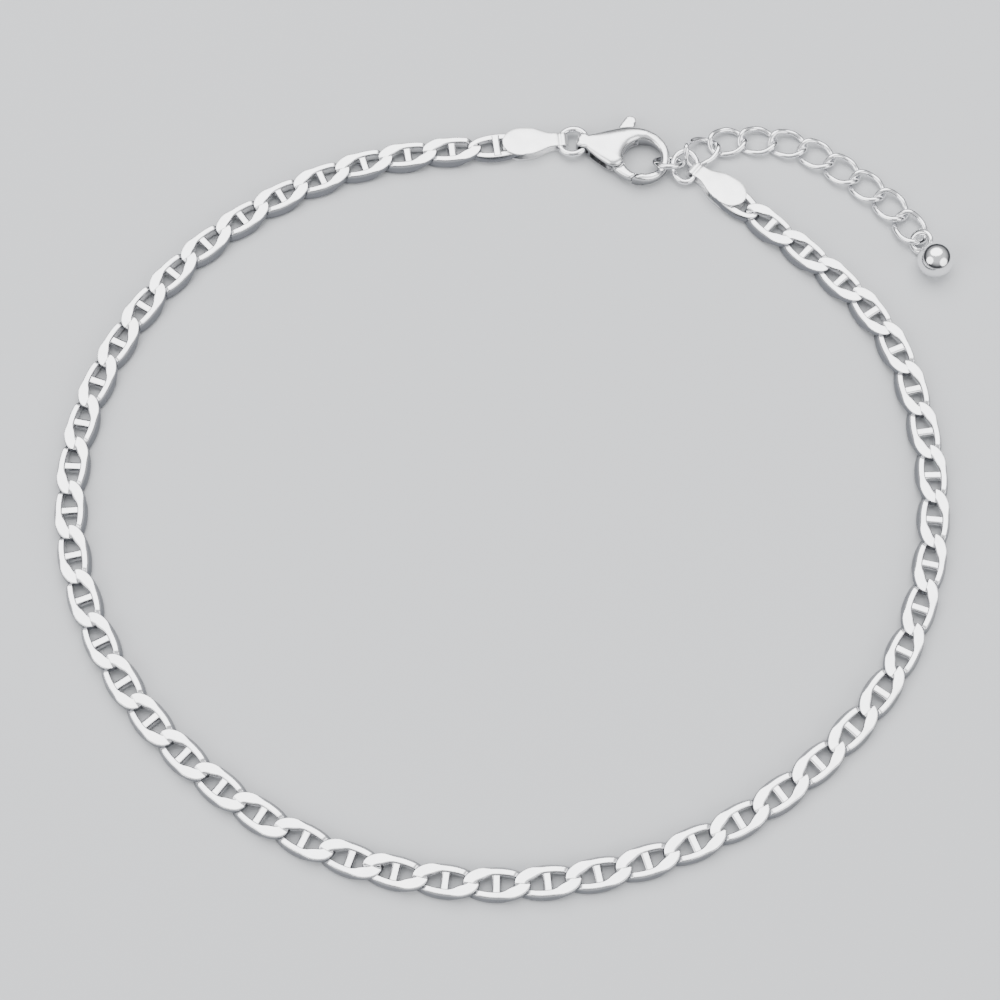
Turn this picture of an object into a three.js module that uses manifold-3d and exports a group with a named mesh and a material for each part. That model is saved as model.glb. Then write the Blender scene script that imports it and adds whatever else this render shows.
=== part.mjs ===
// A silver mariner-link anklet, lying closed on a table.
// Fifty flat links, each with a cross bar, end in two folded end caps. Jump rings carry a lobster
// clasp on one cap, and on the other a short extender of nine curb links with a ball at its end.
// Lengths are in millimetres and angles in degrees, with +Z up and the table at height zero.

import * as THREE from 'three';
import { mergeVertices } from 'three/addons/utils/BufferGeometryUtils.js';
import Module from 'manifold-3d';

const wasm = await Module();
wasm.setup();

const clearance = 0.06;

// Edges shorter than this, left where two solids were joined or cut, are closed up
const finest = 0.006;

// Mariner chain
const linkPitch = 4.2;
const linkWidth = 2.95;
const chainThick = 1.3;
const sideWire = 0.8;
const tipWire = 0.65;
const barWidth = 0.58;
const barDrop = 0.03;
const filedShare = 0.65;
const linkSteps = 10;
const linkSides = 5;
const fuse = 0.1;

// The loop's way from the left cap to the right cap, counter-clockwise, chosen by hand
const CHAIN_ROUTE = [
  [-12.9, 33.5], [-24.3, 27.5], [-32.7, 18.4], [-37.4, 6.7], [-37.1, -5.8],
  [-31.7, -17.5], [-22.6, -26.6], [-11.6, -32.3], [0.6, -34.1], [12.8, -32.0],
  [23.8, -26.3], [32.9, -17.1], [37.6, -5.4], [37.8, 6.9], [33.6, 18.5],
];

// End caps
const capLength = 5.75;
const capWidth = 2.75;
const capNeck = 1.3;
const capSheet = 0.22;
const capPin = 0.6;
const leftReach = 0.16;
const rightReach = 1.2;
const leftCapTurn = 4.5;
const rightCapTurn = 141.2;

// Jump rings
const ringWire = 0.55;
const ringAcross = 3.3;
const slimWire = 0.48;
const middleRingAcross = 3.2;
const middleRingTilt = 44;
const ovalRingLength = 3.6;
const ovalRingWidth = 2.85;
const ovalRingTilt = 10;
const ringSteps = 14;
const ringSides = 6;

// Lobster clasp: its own middle is the middle of the hook's round hole
const claspX = 13.4;
const claspY = 34.1;
const claspTurn = -17.7;
const claspLength = 8.9;
const claspThick = 1.9;
const hookInner = 1.8;
const hookWire = 0.72;
const hookThick = 0.62;
const hookLift = 0.08;
const bodyEdge = 0.25;
const spineWidth = 1.0;
const neckWidth = 1.25;
const neckThick = 1.4;
const neckLength = 1.0;
const eyeWall = 0.24;
const lobeRadius = 1.04;
const pivotBehindHole = 0.8;
const pivotBelow = 0.85;
const pivotPin = 0.7;
const slotThick = 0.8;
const slotLength = 3.95;
const leverThick = 0.62;
const gateThick = 0.9;
const hubRadius = 0.72;
const tabLength = 1.45;
const tabWidth = 0.95;
const seamAngle = 55;

// Extender
const extenderPitch = 2.85;
const extenderCount = 9;
const extenderWidth = 3.1;
const extenderWire = 0.48;
const extenderSteps = 12;
const extenderSides = 5;
const firstLinkTwist = 2.4;
const ballAcross = 3.3;
const bailAcross = 2.3;
const bailWire = 0.5;
const bailLean = 40;
const bailSunk = 0.2;

// The extender's way over the table beyond the oval ring, chosen by hand
const EXTENDER_ROUTE = [
  [19.5, 35.4], [22.3, 36.3], [27.8, 35.8], [32.5, 32.9], [36.6, 29.2], [39.1, 25.2], [40.2, 21.0], [40.8, 16.0],
];

const silver = (colour, roughness) =>
  new THREE.MeshStandardMaterial({ color: colour, metalness: 1, roughness });
const chainSilver = silver(0xdcdde0, 0.16);
const claspSilver = silver(0xe2e2e4, 0.2);
const capSilver = silver(0xe6e6e8, 0.24);
const wireSilver = silver(0xd8d9dc, 0.14);
const ballSilver = silver(0xe8e8ea, 0.06);

const radians = THREE.MathUtils.degToRad;
const lerp = THREE.MathUtils.lerp;
const onCircle = (angle, radius, x = 0, y = 0) =>
  [x + radius * Math.cos(radians(angle)), y + radius * Math.sin(radians(angle))];

// Solids and booleans

function solid(geometry) {
  const bare = geometry.clone();
  bare.deleteAttribute('normal');
  bare.deleteAttribute('uv');
  const merged = mergeVertices(bare, 1e-4);
  return new wasm.Manifold(new wasm.Mesh({
    numProp: 3,
    vertProperties: merged.attributes.position.array,
    triVerts: new Uint32Array(merged.index.array),
  }));
}

function shell(body) {
  const { vertProperties, triVerts } = body.simplify(finest).getMesh();
  const geometry = new THREE.BufferGeometry();
  geometry.setAttribute('position', new THREE.BufferAttribute(new Float32Array(vertProperties), 3));
  geometry.setIndex(new THREE.BufferAttribute(new Uint32Array(triVerts), 1));
  geometry.computeVertexNormals();
  return geometry;
}

// A closed ring of wire: place gives a point for the angle along the ring and around the wire
function wireLoop(steps, sides, place) {
  const geometry = new THREE.TorusGeometry(1, 0.4, sides, steps);
  const position = geometry.attributes.position;
  for (let i = 0; i < position.count; i++) {
    const along = (i % (steps + 1)) / steps * 2 * Math.PI;
    const around = Math.floor(i / (steps + 1)) / sides * 2 * Math.PI;
    position.setXYZ(i, ...place(along, around));
  }
  return geometry;
}

// A flat outline made a plate whose middle height is zero, with rounded edges. Points that fall
// on their neighbour, where one curve takes over from another, are left out.
function plate(shape, thick, edge = 0, edgeSteps = 1, curveSegments = 5) {
  const points = shape.getPoints(curveSegments);
  const outline = points.filter(
    (point, i) => point.distanceTo(points[(i + 1) % points.length]) > 1e-3);
  const geometry = new THREE.ExtrudeGeometry(new THREE.Shape(outline), {
    depth: thick - 2 * edge,
    bevelEnabled: edge > 0,
    bevelThickness: edge,
    bevelSize: edge,
    bevelOffset: -edge,
    bevelSegments: edgeSteps,
  });
  return geometry.translate(0, 0, edge - thick / 2);
}

// A round pin standing on end
function pin(across, high, x, y, sides = 12) {
  return new THREE.CylinderGeometry(across / 2, across / 2, high, sides)
    .rotateX(Math.PI / 2)
    .translate(x, y, 0);
}

// A link's steps lie closer together near its two tips, where it crosses its neighbours
const nearTips = (along) => along - 0.3 * Math.sin(2 * along);

// How far a twisted link's wire is from its middle height, as a share: it is full where two links
// cross and nothing at the tips and the sides
const crossing = (angle) => THREE.MathUtils.clamp(2.2 * Math.sin(2 * angle), -1, 1);

// How far a ring of this radius bends back over half of a piece this wide
const bendOver = (radius, width) => radius - Math.sqrt(radius ** 2 - (width / 2) ** 2);

// Mariner links

const tipOverlap = fuse;
const linkLength = linkPitch + 2 * tipWire - tipOverlap;
const strandThick = (chainThick - clearance) / 2;
const strandRise = (chainThick - strandThick) / 2;

// A link lies flat with its length on X. It is twisted: its left strand is high at the back end and
// low at the front end, and its right strand the other way round. The twist at each end is a share.
function marinerLink(backTwist, frontTwist) {
  const strand = (along, around) => {
    const angle = nearTips(along);
    const cos = Math.cos(angle);
    const sin = Math.sin(angle);
    const wire = lerp(sideWire, tipWire, cos * cos);
    const halfLength = (linkLength - wire) / 2;
    const halfWidth = (linkWidth - wire) / 2;
    const twist = lerp(backTwist, frontTwist, ((1 + cos) / 2) ** 2);
    const rise = -strandRise * twist * crossing(angle);
    const broad = THREE.MathUtils.clamp(1.13 * sin, -1, 1);
    const side = Math.cos(around);
    const onFlat = Math.abs(Math.sin(around)) > 0.5;
    const out = (onFlat ? Math.sign(side) * filedShare : side) * wire / 2;
    const up = onFlat ? Math.sign(Math.sin(around)) * strandThick / 2 : 0;
    const normal = new THREE.Vector2(cos * halfWidth, sin * halfLength).normalize();
    return [halfLength * cos + normal.x * out, halfWidth * broad + normal.y * out, rise + up];
  };
  const bar = new THREE.BoxGeometry(barWidth, linkWidth - sideWire, strandThick - 2 * barDrop);
  return solid(wireLoop(linkSteps, linkSides, strand)).add(solid(bar));
}

// A route over the table: points and directions by length along a smooth curve
function route(points, height) {
  const curve = new THREE.CatmullRomCurve3(
    points.map(([x, y]) => new THREE.Vector3(x, y, height)), false, 'catmullrom', 0.5);
  curve.arcLengthDivisions = 1200;
  const length = curve.getLength();
  return {
    length,
    at(distance) {
      const share = distance / length;
      const point = curve.getPointAt(share);
      const way = curve.getTangentAt(share);
      return { point, turn: Math.atan2(way.y, way.x) };
    },
  };
}

function chainHalf(way, distances, endIndex) {
  const full = marinerLink(1, 1);
  const end = marinerLink(0, 0);
  const links = distances.map((distance, index) => {
    const { point, turn } = way.at(distance);
    return (index === endIndex ? end : full)
      .rotate([0, 0, THREE.MathUtils.radToDeg(turn)])
      .translate([point.x, point.y, point.z]);
  });
  return shell(wasm.Manifold.union(links));
}

// End caps: a spoon-shaped strip folded over its ring, both plates gripping the end link

const capThick = chainThick;
const capGap = capThick - 2 * capSheet;
const capRound = capWidth / 2;
const capFold = capLength - capRound;
const ringRadius = (ringAcross - ringWire) / 2;
const foldBend = bendOver(ringRadius, capNeck);
const foldRingAt = capFold - capSheet - ringWire / 2 - 3 * clearance - foldBend;

function spoonShape() {
  const neckStart = capFold * 0.72;
  const half = capNeck / 2;
  const shape = new THREE.Shape();
  shape.moveTo(...onCircle(75, capRound));
  shape.absarc(0, 0, capRound, radians(75), radians(285), false);
  shape.bezierCurveTo(capRound * 1.2, -capRound, neckStart * 0.7, -half, neckStart, -half);
  shape.lineTo(capFold, -half);
  shape.lineTo(capFold, half);
  shape.lineTo(neckStart, half);
  shape.bezierCurveTo(neckStart * 0.7, half, capRound * 1.2, capRound, ...onCircle(75, capRound));
  return shape;
}

// The strip's side view, drawn with its length on X and its height on Y
function foldedStripShape() {
  const outer = capThick / 2;
  const inner = capGap / 2;
  const bend = capFold - outer;
  const shape = new THREE.Shape();
  shape.moveTo(-capWidth, -outer);
  shape.lineTo(bend, -outer);
  shape.absarc(bend, 0, outer, -Math.PI / 2, Math.PI / 2, false);
  shape.lineTo(-capWidth, outer);
  shape.lineTo(-capWidth, inner);
  shape.lineTo(bend, inner);
  shape.absarc(bend, 0, inner, Math.PI / 2, -Math.PI / 2, true);
  shape.lineTo(-capWidth, -inner);
  shape.closePath();
  return shape;
}

function endCap(reach) {
  const strip = plate(foldedStripShape(), capWidth * 1.2).rotateX(Math.PI / 2);
  const spoon = plate(spoonShape(), capThick * 1.5);
  const pinAt = reach - capPin / 2 - 5 * clearance;
  const rivet = pin(capPin, capGap + capSheet, pinAt, 0, 10);
  return shell(solid(strip).intersect(solid(spoon)).add(solid(rivet)));
}

// Jump rings

function jumpRing(length, width, wire) {
  return wireLoop(ringSteps, ringSides, (along, around) => {
    const out = Math.cos(around) * wire / 2;
    return [
      ((width - wire) / 2 + out) * Math.cos(along),
      ((length - wire) / 2 + out) * Math.sin(along),
      Math.sin(around) * wire / 2,
    ];
  });
}

// Lobster clasp, lying with its neck at -X, its thumb tab at +Y and its middle height at zero

const hookOuter = hookInner + hookWire;
const spineOuter = hookInner + spineWidth;
const neckEnd = hookOuter - claspLength;
const pivot = [-(hookInner + pivotBehindHole), -pivotBelow];
const eyeBend = bendOver(ringRadius, neckWidth);
const eyeRoom = ringWire + eyeBend + 7 * clearance;
const eyeX = neckEnd + eyeWall + eyeRoom - ringWire / 2 - 2 * clearance;
const slotFront = -hookInner / 2;
const lobeEnd = 358;
const holeBack = 209.7;

// The seam where the gate meets the hook's tip, slanted so that the gate swings free of it
const seamMiddle = onCircle(269, hookInner + hookWire / 2);
const seamWay = onCircle(seamAngle, 1);

function seamPoint(along, aside) {
  return [
    seamMiddle[0] + along * seamWay[0] - aside * seamWay[1],
    seamMiddle[1] + along * seamWay[1] + aside * seamWay[0],
  ];
}

// The angle at which the seam, moved aside, crosses a circle round the hole
function seamCross(radius, aside) {
  const [x, y] = seamPoint(0, aside);
  const along = x * seamWay[0] + y * seamWay[1];
  const step = -along - Math.sqrt(along ** 2 - (x ** 2 + y ** 2 - radius ** 2));
  return Math.atan2(y + step * seamWay[1], x + step * seamWay[0]);
}

// The body seen from above, from the neck round the lobe, the hole and the hook to its back
function bodyShape() {
  const half = neckWidth / 2;
  const tipInner = seamCross(hookInner, -clearance / 2);
  const tipOuter = seamCross(hookOuter, -clearance / 2);
  const shape = new THREE.Shape();
  shape.moveTo(neckEnd, half * 0.6);
  shape.lineTo(neckEnd, -half * 0.6);
  shape.lineTo(neckEnd + half * 0.4, -half);
  shape.lineTo(neckEnd + neckLength, -half);
  shape.quadraticCurveTo(
    neckEnd * 0.64, pivot[1] * 1.76, ...onCircle(260, lobeRadius, ...pivot));
  shape.absarc(...pivot, lobeRadius, radians(260), radians(lobeEnd), false);
  shape.absarc(0, 0, hookInner, radians(holeBack), tipInner, true);
  shape.absarc(0, 0, hookOuter, tipOuter, radians(20), false);
  shape.quadraticCurveTo(...onCircle(49, spineOuter * 1.09), ...onCircle(80, spineOuter));
  shape.bezierCurveTo(
    neckEnd * 0.34, spineOuter * 1.14, neckEnd * 0.53, spineOuter * 0.68,
    neckEnd + neckLength, half);
  shape.lineTo(neckEnd + half * 0.4, half);
  shape.closePath();
  return shape;
}

// The body seen from its side: it is thick at its middle and thins down to the neck and the hook
function sideShape() {
  const shape = new THREE.Shape();
  shape.moveTo(neckEnd - 1, neckThick / 2);
  shape.lineTo(neckEnd + neckLength, neckThick / 2);
  shape.lineTo(pivot[0], claspThick / 2);
  shape.lineTo(slotFront, claspThick / 2);
  shape.lineTo(hookInner * 0.7, hookLift + hookThick / 2);
  shape.lineTo(hookOuter + 1, hookLift + hookThick / 2);
  shape.lineTo(hookOuter + 1, hookLift - hookThick / 2);
  shape.lineTo(hookInner * 0.7, hookLift - hookThick / 2);
  shape.lineTo(slotFront, -claspThick / 2);
  shape.lineTo(pivot[0], -claspThick / 2);
  shape.lineTo(neckEnd + neckLength, -neckThick / 2);
  shape.lineTo(neckEnd - 1, -neckThick / 2);
  shape.closePath();
  return shape;
}

function claspBody() {
  const slotMiddle = slotFront - slotLength / 2;
  const slot = new THREE.BoxGeometry(slotLength, 4 * hookOuter, slotThick)
    .translate(slotMiddle, 0, 0);
  const across = 1 / Math.cos(radians(22.5));
  const eye = new THREE.CylinderGeometry(across / 2, across / 2, 2 * neckWidth, 8)
    .rotateY(radians(22.5))
    .scale(eyeRoom, 1, ringWire + 4 * clearance)
    .translate(neckEnd + eyeWall + eyeRoom / 2, 0, 0);
  const post = pin(pivotPin, slotThick + capSheet, ...pivot);
  const outline = plate(bodyShape(), claspThick, bodyEdge, 2, 6);
  const side = plate(sideShape(), 4 * hookOuter).rotateX(Math.PI / 2);
  return shell(solid(outline)
    .intersect(solid(side))
    .subtract(solid(slot))
    .subtract(solid(eye))
    .add(solid(post)));
}

// The gate outside the body: its inner side continues the hole, its root follows the body's lobe
function gateShape() {
  const root = lobeRadius + clearance;
  const inner = hookInner + clearance / 2;
  const shape = new THREE.Shape();
  shape.moveTo(...seamPoint(hookWire * 0.62, clearance));
  shape.absarc(0, 0, inner, radians(267), radians(217), true);
  shape.absarc(...pivot, root, radians(-15), radians(-66), true);
  shape.lineTo(pivot[0] + root * 0.45, pivot[1] - root * 1.13);
  shape.quadraticCurveTo(
    pivot[0] * 0.4, -hookOuter * 1.0, ...seamPoint(-hookWire * 0.6, clearance));
  shape.closePath();
  return shape;
}

// The lever inside the slot: thumb tab, arm and hub, as far as the gate's tip
function leverShape() {
  const tabRound = tabWidth / 2;
  const tabX = pivot[0] * 0.85;
  const tabY = spineOuter + tabLength - tabRound - 0.35;
  const inner = hookInner + clearance;
  const shape = new THREE.Shape();
  shape.moveTo(...seamPoint(-hookWire * 0.6, clearance));
  shape.quadraticCurveTo(
    pivot[0] * 0.4, -hookOuter, pivot[0] + lobeRadius * 0.45, pivot[1] - lobeRadius * 1.13);
  shape.absarc(...pivot, hubRadius, radians(-80), radians(-200), true);
  shape.lineTo(tabX - tabRound * 1.7, spineOuter * 0.8);
  shape.absarc(tabX, tabY, tabRound, radians(160), radians(-5), true);
  shape.lineTo(tabX + tabRound * 1.25, spineOuter * 0.95);
  shape.absarc(0, 0, inner, radians(127), radians(267), false);
  shape.lineTo(...seamPoint(hookWire * 0.62, clearance));
  shape.closePath();
  return shape;
}

function claspLever() {
  const arm = solid(plate(leverShape(), leverThick, 0, 1, 6));
  const gate = solid(plate(gateShape(), gateThick, 0, 1, 6));
  const bore = solid(pin(pivotPin + 2 * clearance, claspThick, ...pivot));
  return shell(arm.add(gate).subtract(bore));
}

// Extender links: round ovals with a curb twist, so that they lie nearly flat

const extenderRise = extenderWire / 2 + clearance;
const extenderLength = extenderPitch + 2 * extenderWire + clearance;
const extenderThick = 2 * extenderRise + extenderWire;

function extenderLink(backTwist) {
  return wireLoop(extenderSteps, extenderSides, (along, around) => {
    const angle = nearTips(along);
    const cos = Math.cos(angle);
    const sin = Math.sin(angle);
    const halfLength = (extenderLength - extenderWire) / 2;
    const halfWidth = (extenderWidth - extenderWire) / 2;
    const twist = lerp(backTwist, 1, (1 + cos) / 2);
    const out = Math.cos(around) * extenderWire / 2;
    const normal = new THREE.Vector2(cos * halfWidth, sin * halfLength).normalize();
    return [
      halfLength * cos + normal.x * out,
      halfWidth * sin + normal.y * out,
      Math.sin(around) * extenderWire / 2 - extenderRise * twist * crossing(angle),
    ];
  });
}

// The end ball with its soldered bail, the bail's middle at the origin and the ball towards +X
const bailRadius = (bailAcross - bailWire) / 2;
const ballRadius = ballAcross / 2;
const bailHeight = bailRadius * Math.sin(radians(bailLean)) + bailWire / 2;
const ballDrop = ballRadius - bailHeight;
const ballReach = bailRadius + bailWire / 2 + ballRadius - bailSunk;
const ballX = Math.sqrt(ballReach ** 2 - ballDrop ** 2);

function endBall() {
  const ball = new THREE.SphereGeometry(ballRadius, 16, 10)
    .rotateX(Math.PI / 2)
    .translate(ballX, 0, ballDrop);
  const bail = wireLoop(12, ringSides, (along, around) => {
    const radius = bailRadius + Math.cos(around) * bailWire / 2;
    return [radius * Math.cos(along), radius * Math.sin(along), Math.sin(around) * bailWire / 2];
  }).rotateX(radians(bailLean));
  return shell(solid(ball).add(solid(bail)));
}

// Assembly

const anklet = new THREE.Group();
anklet.name = 'anklet';

function piece(name, geometry, material, x = 0, y = 0, z = 0, turn = 0) {
  const mesh = new THREE.Mesh(geometry, material);
  mesh.name = name;
  mesh.position.set(x, y, z);
  mesh.rotation.z = turn;
  anklet.add(mesh);
  return mesh;
}

// The clasp lies first, and everything else follows from it
const claspAngle = radians(claspTurn);
const claspMiddle = claspThick / 2;
const onClasp = (x, y) => [
  claspX + x * Math.cos(claspAngle) - y * Math.sin(claspAngle),
  claspY + x * Math.sin(claspAngle) + y * Math.cos(claspAngle),
];
piece('clasp_body', claspBody(), claspSilver, claspX, claspY, claspMiddle, claspAngle);
piece('clasp_lever', claspLever(), claspSilver, claspX, claspY, claspMiddle, claspAngle);

// The clasp's own ring joins its eye to the left cap
const capMiddle = capThick / 2;
const [eyeAtX, eyeAtY] = onClasp(eyeX, 0);
const ringSwing = claspAngle * 0.75;
const ringX = eyeAtX - ringRadius * Math.cos(ringSwing);
const ringY = eyeAtY - ringRadius * Math.sin(ringSwing);
const claspRing = piece('ring_clasp', jumpRing(ringAcross, ringAcross, ringWire), wireSilver,
  ringX, ringY, (claspMiddle + capMiddle) / 2);
claspRing.rotation.y = -Math.asin((claspMiddle - capMiddle) / (2 * ringRadius));

const leftCapAngle = radians(leftCapTurn);
const leftCapX = ringX - (ringRadius + foldRingAt) * Math.cos(leftCapAngle);
const leftCapY = ringY - (ringRadius + foldRingAt) * Math.sin(leftCapAngle);
piece('end_cap_left', endCap(leftReach), capSilver, leftCapX, leftCapY, capMiddle, leftCapAngle);

// The middle ring leans over the hook and carries the oval ring
const middleRadius = (middleRingAcross - slimWire) / 2;
const middleTilt = radians(middleRingTilt);
const [middleX, middleY] = onClasp(hookInner + hookWire / 2 + middleRadius * 0.25, 0.2);
const middleHeight = middleRadius * Math.sin(middleTilt) + slimWire / 2;
const middleRing = piece('ring_middle', jumpRing(middleRingAcross, middleRingAcross, slimWire),
  wireSilver, middleX, middleY, middleHeight);
middleRing.rotation.x = -middleTilt;

const ovalTilt = radians(ovalRingTilt);
const ovalHalfWidth = (ovalRingWidth - slimWire) / 2;
const ovalHalfLength = (ovalRingLength - slimWire) / 2;
const ovalX = middleX + middleRadius - slimWire - 8 * clearance + ovalHalfWidth;
const ovalY = middleY - 0.2;
const gripAngle = radians(-40);
const ovalHeight = capMiddle - ovalHalfLength * Math.sin(gripAngle) * Math.sin(ovalTilt);
const ovalRing = piece('ring_extender', jumpRing(ovalRingLength, ovalRingWidth, slimWire),
  wireSilver, ovalX, ovalY, ovalHeight);
ovalRing.rotation.x = ovalTilt;

// The right cap grips the oval ring at its near right side
const rightCapAngle = radians(rightCapTurn);
const gripX = ovalX + ovalHalfWidth * Math.cos(gripAngle);
const gripY = ovalY + ovalHalfLength * Math.sin(gripAngle) * Math.cos(ovalTilt);
const rightCapX = gripX - foldRingAt * Math.cos(rightCapAngle);
const rightCapY = gripY - foldRingAt * Math.sin(rightCapAngle);
piece('end_cap_right', endCap(rightReach), capSilver, rightCapX, rightCapY, capMiddle,
  rightCapAngle);

// The chain fills the way between the caps, in two halves that meet at the front
const chainStart = [
  leftCapX + leftReach * Math.cos(leftCapAngle), leftCapY + leftReach * Math.sin(leftCapAngle)];
const chainEnd = [
  rightCapX + rightReach * Math.cos(rightCapAngle),
  rightCapY + rightReach * Math.sin(rightCapAngle)];
const chainWay = route([chainStart, ...CHAIN_ROUTE, chainEnd], chainThick / 2);
const meet = tipOverlap + 4 * clearance;
const linkCount = 2 * Math.round(chainWay.length / linkPitch / 2);
const laidPitch = (chainWay.length + meet) / linkCount;
const halfDistances = Array.from({ length: linkCount / 2 }, (_, i) => (i + 0.5) * laidPitch);
const otherDistances = halfDistances.map((distance) => chainWay.length - distance).reverse();
piece('chain_left', chainHalf(chainWay, halfDistances, 0), chainSilver);
piece('chain_right', chainHalf(chainWay, otherDistances, linkCount / 2 - 1), chainSilver);

// The extender hangs on the oval ring's far side and lies out to the right
const hangAngle = radians(56);
const hangInside = slimWire / 2 + extenderWire / 2 + 3 * clearance;
const hang = [
  ovalX + (ovalHalfWidth - hangInside) * Math.cos(hangAngle),
  ovalY + (ovalHalfLength - hangInside) * Math.sin(hangAngle) * Math.cos(ovalTilt)];
const hangHeight = ovalHeight + ovalHalfLength * Math.sin(hangAngle) * Math.sin(ovalTilt);
const extenderWay = route([hang, ...EXTENDER_ROUTE], extenderThick / 2);
const hangReach = (extenderLength - extenderWire) / 2;
const linkAt = (index) => hangReach + index * extenderPitch - (index ? 2 * clearance : 0);
for (let i = 0; i < extenderCount; i++) {
  const { point, turn } = extenderWay.at(linkAt(i));
  const link = piece('extender_link_0' + (i + 1), extenderLink(i ? 1 : firstLinkTwist), wireSilver,
    point.x, point.y, point.z, turn);
  if (i === 0) {
    const climb = Math.atan2(hangHeight - point.z, extenderLength);
    link.rotation.set(0, climb, turn, 'ZYX');
    link.position.z += (hangHeight - point.z) / 2;
  }
}

// The ball hangs on the last link by its bail
const lastReach = extenderLength / 2 - extenderWire - bailWire / 2 - 5 * clearance;
const bailDistance = linkAt(extenderCount - 1) + lastReach + bailRadius;
const { point: bailPoint, turn: bailTurn } = extenderWay.at(bailDistance);
piece('end_ball', endBall(), ballSilver, bailPoint.x, bailPoint.y, bailHeight, bailTurn);

// The origin is under the middle of the whole anklet
const model = new THREE.Group();
model.add(anklet);
const box = new THREE.Box3().setFromObject(anklet, true);
const middle = box.getCenter(new THREE.Vector3());
anklet.position.set(-middle.x, -middle.y, -box.min.z);

export default model;
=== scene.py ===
# A silver mariner-link anklet with a lobster clasp and a short extender, lying closed on a table.
# Shapes are modelled in millimetres in the anklet's own coordinates, where the camera looks at the
# origin, and settle() puts each finished piece in the frame, in metres.

from math import asin, atan2, cos, hypot, pi, radians, sin, sqrt

import bpy
import numpy as np
from mathutils import Euler, Matrix, Vector
from mathutils.geometry import delaunay_2d_cdt


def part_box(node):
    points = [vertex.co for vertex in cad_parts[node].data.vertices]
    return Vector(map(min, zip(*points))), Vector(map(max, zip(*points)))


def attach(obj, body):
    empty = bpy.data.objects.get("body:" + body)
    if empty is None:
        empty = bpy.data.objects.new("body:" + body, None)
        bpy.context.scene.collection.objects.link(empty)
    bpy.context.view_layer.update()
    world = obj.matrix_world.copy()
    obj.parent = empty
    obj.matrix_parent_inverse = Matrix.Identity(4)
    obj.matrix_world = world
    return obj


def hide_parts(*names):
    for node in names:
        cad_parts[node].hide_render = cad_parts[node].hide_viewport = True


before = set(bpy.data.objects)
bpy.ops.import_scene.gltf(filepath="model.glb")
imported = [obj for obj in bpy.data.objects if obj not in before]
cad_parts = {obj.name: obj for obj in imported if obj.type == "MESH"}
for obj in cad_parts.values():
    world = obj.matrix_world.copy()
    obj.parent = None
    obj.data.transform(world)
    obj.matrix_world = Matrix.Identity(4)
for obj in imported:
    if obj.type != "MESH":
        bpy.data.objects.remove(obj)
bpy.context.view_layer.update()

MM = 0.001

# Camera: a long lens high above the front of the anklet
LENS = 72
SENSOR = 36
CAMERA_ELEVATION = radians(68.84)
CAMERA_DISTANCE = 177.06 * MM
NEAREST_SEEN = 5 * MM
FARTHEST_SEEN = 20

# Flat mariner chain
LINK_LENGTH = 5.65
LINK_WIDTH = 2.95
CHAIN_THICK = 1.3
SIDE_WIRE = 0.82
TIP_WIRE = 0.65
TIP_SWELL = 0.4
# Heights of the wire's top over the chain's middle plane, on its way round a twisted link
HIGH_TOP = 0.62
MIDDLE_TOP = 0.54
LOW_TOP = 0.0
FLAT_LINK_TOP = 0.31
# Degrees past the tip at which the wire goes from high to low, and over how many it does so
TIP_TURN = 9
TIP_TURN_SPREAD = 12
# Shares of half the link's length between which the wire gets to its high and low levels
HIGH_REACH = (0.1, 0.55)
LOW_REACH = (0.64, 0.88)
# An ellipse's sides have a fullness of 1, and a smaller number makes them fuller
SIDE_FULLNESS = 0.92
# Width and place of the filed flat as shares of the wire, and the flat's rounded share
SIDE_FLAT = 0.46
TIP_FLAT = 0.78
FLAT_ASIDE = 0.13
FLAT_ROUND = 0.16
# How much painted shade darkens the wire where it passes under its neighbour
LOW_SHADE = 0.25
# The bar across the middle of each link
BAR_WIDTH = 0.82
BAR_HALF = 0.31
BAR_LIFT = 0.07
BAR_FLAT = 0.5
BAR_FLARE = 0.3
# Share of the section's painted shade that the bar gets
BAR_SHADE = 0.45
# The links along the route
LINK_COUNT = 50
LINK_MEET = 0.34
LINK_STEPS = 64
BAR_STEPS = 13
TIP_CROWDING = 0.3

# The chain's way from the left cap to the right cap, counter-clockwise
CHAIN_ROUTE = [
    (-12.9, 33.5), (-24.3, 27.5), (-32.7, 18.4), (-37.4, 6.7), (-37.1, -5.8),
    (-31.7, -17.5), (-22.6, -26.6), (-11.6, -32.3), (0.6, -34.1), (12.8, -32.0),
    (23.8, -26.3), (32.9, -17.1), (37.6, -5.4), (37.8, 6.9), (33.6, 18.5),
]

# End caps
CAP_LENGTH = 5.75
CAP_WIDTH = 2.85
CAP_NECK = 1.3
CAP_SHEET = 0.22
CAP_PIN = 0.6
CAP_EXTRA = 0.3
CAP_FOLD_EXTRA = 0.12
# The spoon's outline, the crease before its fold, and the dip along its neck
NECK_START = 0.72
SHOULDER_FROM = 75
SHOULDER_OUT = 1.2
SHOULDER_IN = 0.7
CREASE_BEFORE_FOLD = 0.12
CREASE_DEPTH = 0.1
CREASE_SPREAD = 0.22
NECK_DIP = 0.1
NECK_DIP_FROM = 1.4
NECK_DIP_OVER = 1.4
EDGE_ROLL = 0.05
EDGE_ROUND = 0.06
ROUND_END_ROWS = 16
PLATE_ROWS = 30
FOLD_ROWS = 15
CAP_COLUMNS = 13
CAP_LEFT_AT = (2.007, 35.877)
CAP_LEFT_TURN = radians(4.5)
CAP_LEFT_REACH = -0.3
CAP_RIGHT_AT = (21.39, 30.55)
CAP_RIGHT_TURN = radians(141.2)
CAP_RIGHT_REACH = 1.2

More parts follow.
